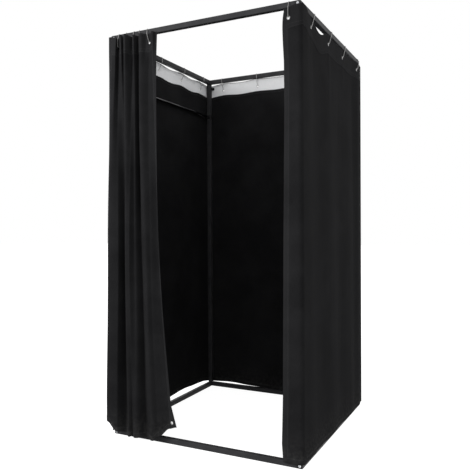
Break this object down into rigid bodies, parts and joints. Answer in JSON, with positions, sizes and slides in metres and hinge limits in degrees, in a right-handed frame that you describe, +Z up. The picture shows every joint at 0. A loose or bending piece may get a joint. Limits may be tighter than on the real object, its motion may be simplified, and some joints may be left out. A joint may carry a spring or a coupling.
{
  "type": "portable fitting room",
  "caption": "Free-standing changing booth: black square-tube frame, black curtains hooked to its top rails on three sides, a sliding door curtain and a garment rail inside.",
  "frame": {"origin": "on the floor, at the middle of the footprint that the frame and its curtains take together", "axes": "+Z up, the doorway faces -Y, and the garment rail runs along Y on the -X side"},
  "size_m": [1.0391, 1.0698, 2.0024],
  "materials": {
    "tube_black": "black satin powder coat",
    "block_black": "moulded black, fine grain",
    "screw_zinc": "bright zinc plated",
    "wire_nickel": "nickel plated wire",
    "curtain_black": "matte woven polyester with pressed metal eyelets"
  },
  "bodies": {
    "frame": {"post_front_left": "tube_black", "post_front_right": "tube_black", "post_back_left": "tube_black", "post_back_right": "tube_black", "top_rail_front": "tube_black", "top_rail_back": "tube_black", "top_rail_left": "tube_black", "top_rail_right": "tube_black", "floor_rail_front": "tube_black", "floor_rail_back": "tube_black", "floor_rail_left": "tube_black", "floor_rail_right": "tube_black", "corner_block_top_front_left": "block_black", "corner_screw_top_front_left": "screw_zinc", "corner_block_top_front_right": "block_black", "corner_screw_top_front_right": "screw_zinc", "corner_block_top_back_left": "block_black", "corner_screw_top_back_left": "screw_zinc", "corner_block_top_back_right": "block_black", "corner_screw_top_back_right": "screw_zinc", "corner_block_floor_front_left": "block_black", "corner_screw_floor_front_left": "screw_zinc", "corner_block_floor_front_right": "block_black", "corner_screw_floor_front_right": "screw_zinc", "corner_block_floor_back_left": "block_black", "corner_screw_floor_back_left": "screw_zinc", "corner_block_floor_back_right": "block_black", "corner_screw_floor_back_right": "screw_zinc", "garment_rail_collar_front": "block_black", "garment_rail_collar_back": "block_black", "garment_rail": "tube_black", "hook_left_1": "wire_nickel", "hook_left_2": "wire_nickel", "hook_left_3": "wire_nickel", "hook_left_4": "wire_nickel", "hook_left_5": "wire_nickel", "hook_back_1": "wire_nickel", "hook_back_2": "wire_nickel", "hook_back_3": "wire_nickel", "hook_back_4": "wire_nickel", "hook_right_1": "wire_nickel", "hook_right_2": "wire_nickel", "hook_right_3": "wire_nickel", "hook_right_4": "wire_nickel", "hook_right_5": "wire_nickel", "curtain_left": "curtain_black", "curtain_back": "curtain_black", "curtain_right": "curtain_black", "door_hook_1": "wire_nickel", "door_curtain_1": "curtain_black", "header_clip_back_left": "block_black", "header_clip_back_right": "block_black"},
    "door_section_2": {"door_hook_2": "wire_nickel", "door_curtain_2": "curtain_black"},
    "door_section_3": {"door_hook_3": "wire_nickel", "door_curtain_3": "curtain_black"},
    "door_section_4": {"door_hook_4": "wire_nickel", "door_curtain_4": "curtain_black"},
    "door_section_5": {"door_hook_5": "wire_nickel", "door_curtain_5": "curtain_black"}
  },
  "joints": [
    {"name": "door_slide_2", "type": "slide", "parent": "frame", "child": "door_section_2", "axis": [1, 0, 0], "range_m": [0, 0.156]},
    {"name": "door_slide_3", "type": "slide", "parent": "door_section_2", "child": "door_section_3", "axis": [1, 0, 0], "range_m": [0, 0.156]},
    {"name": "door_slide_4", "type": "slide", "parent": "door_section_3", "child": "door_section_4", "axis": [1, 0, 0], "range_m": [0, 0.156]},
    {"name": "door_slide_5", "type": "slide", "parent": "door_section_4", "child": "door_section_5", "axis": [1, 0, 0], "range_m": [0, 0.156]}
  ],
  "couplings": [
    {"joint": "door_slide_3", "follows": "door_slide_2", "ratio": 1},
    {"joint": "door_slide_4", "follows": "door_slide_2", "ratio": 1},
    {"joint": "door_slide_5", "follows": "door_slide_2", "ratio": 1}
  ]
}
